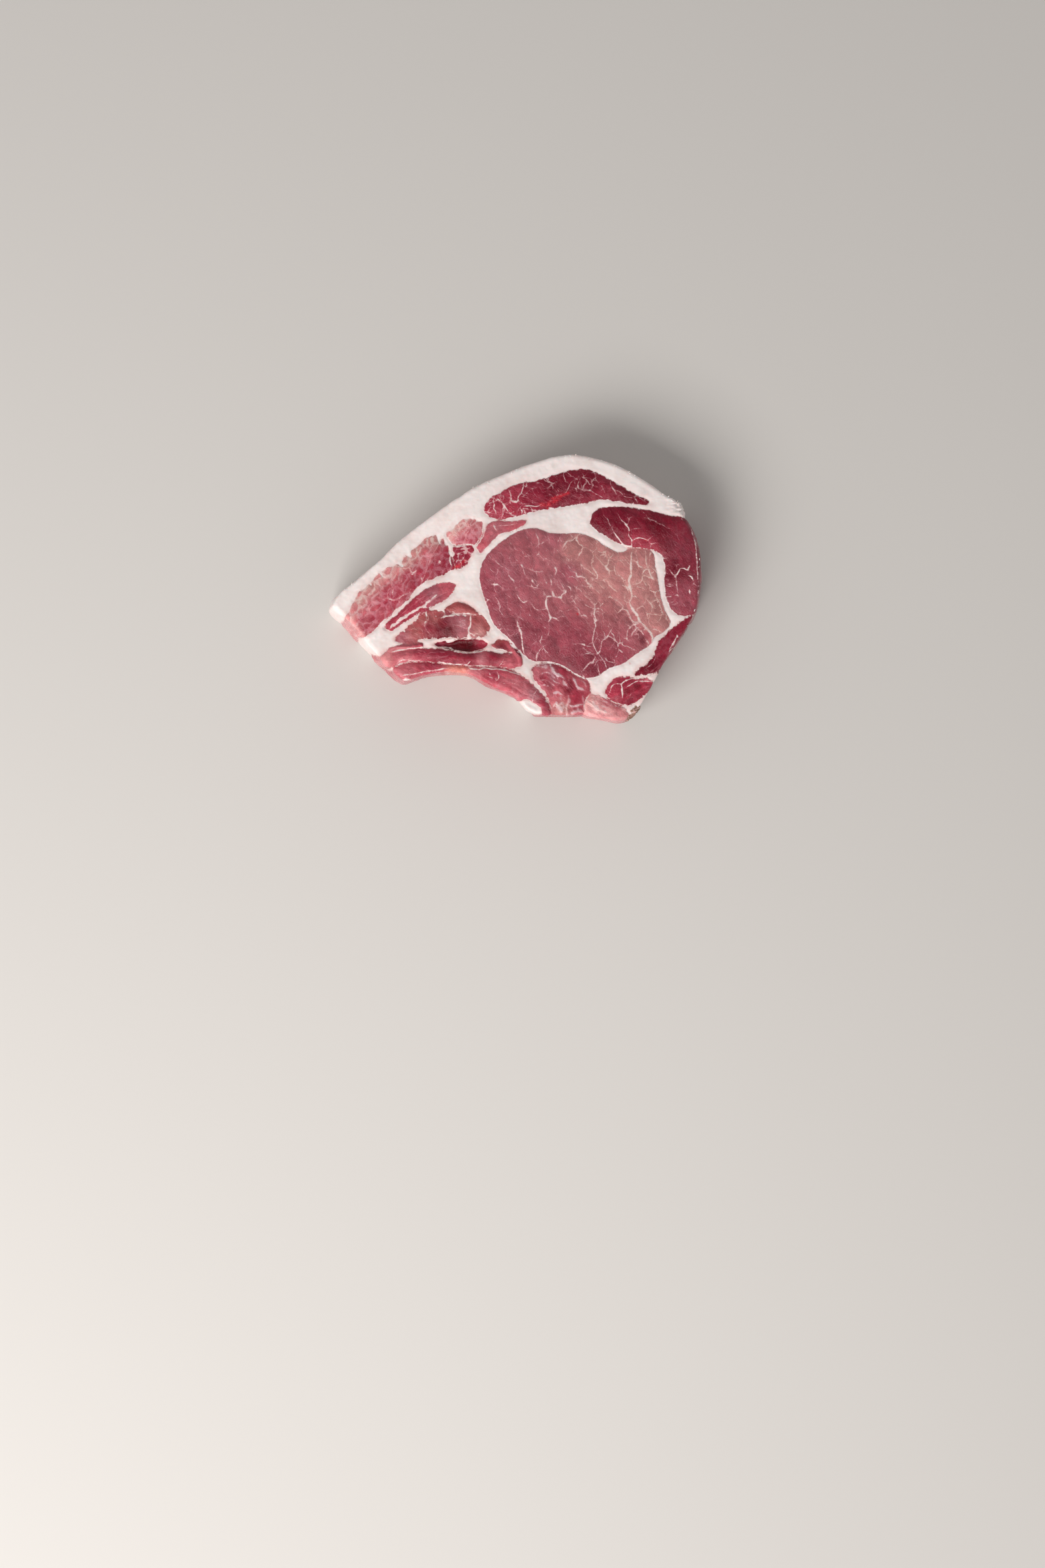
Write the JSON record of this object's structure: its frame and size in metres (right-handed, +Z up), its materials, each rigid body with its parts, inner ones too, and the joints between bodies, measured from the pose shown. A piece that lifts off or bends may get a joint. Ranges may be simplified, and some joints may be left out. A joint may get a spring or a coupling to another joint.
{
  "type": "pork rib chop",
  "caption": "Raw thick-cut pork rib chop lying flat: round marbled loin eye, darker muscles round it, rib-side meat, white fat cap and fat seams.",
  "frame": {"origin": "middle of the chop's box, on the surface it lies on", "axes": "+X from the thin belly end to the spine side, +Y towards the fat cap, +Z up out of the upper cut face"},
  "size_m": [0.1414, 0.1004, 0.0278],
  "materials": {
    "fat": "waxy white pork fat, satin",
    "eye_lean": "moist dusty rose lean with fine white marbling",
    "dark_lean": "moist dark red lean with white threads",
    "pink_lean": "moist pale pink lean in coarse bundles",
    "rib_lean": "wet red lean in strands between the ribs",
    "bone": "rough brown-grey sawn bone"
  },
  "bodies": {
    "root": {"eye_muscle": "eye_lean", "spine_muscle": "dark_lean", "top_muscle": "dark_lean", "flank_muscle": "pink_lean", "fan_upper_muscle": "pink_lean", "fan_end_muscle": "pink_lean", "fan_lower_muscle": "dark_lean", "seam_muscle": "rib_lean", "side_muscle": "dark_lean", "side_lobe_muscle": "dark_lean", "rib_hollow_muscle": "dark_lean", "rib_nub_muscle": "rib_lean", "rib_upper_muscle": "rib_lean", "rib_lower_muscle": "rib_lean", "gristle": "fat", "rib_block_muscle": "rib_lean", "chine_foot_muscle": "rib_lean", "chine_muscle": "dark_lean", "chine_strip_muscle": "dark_lean", "bone_chip": "bone", "fat": "fat"}
  },
  "joints": []
}
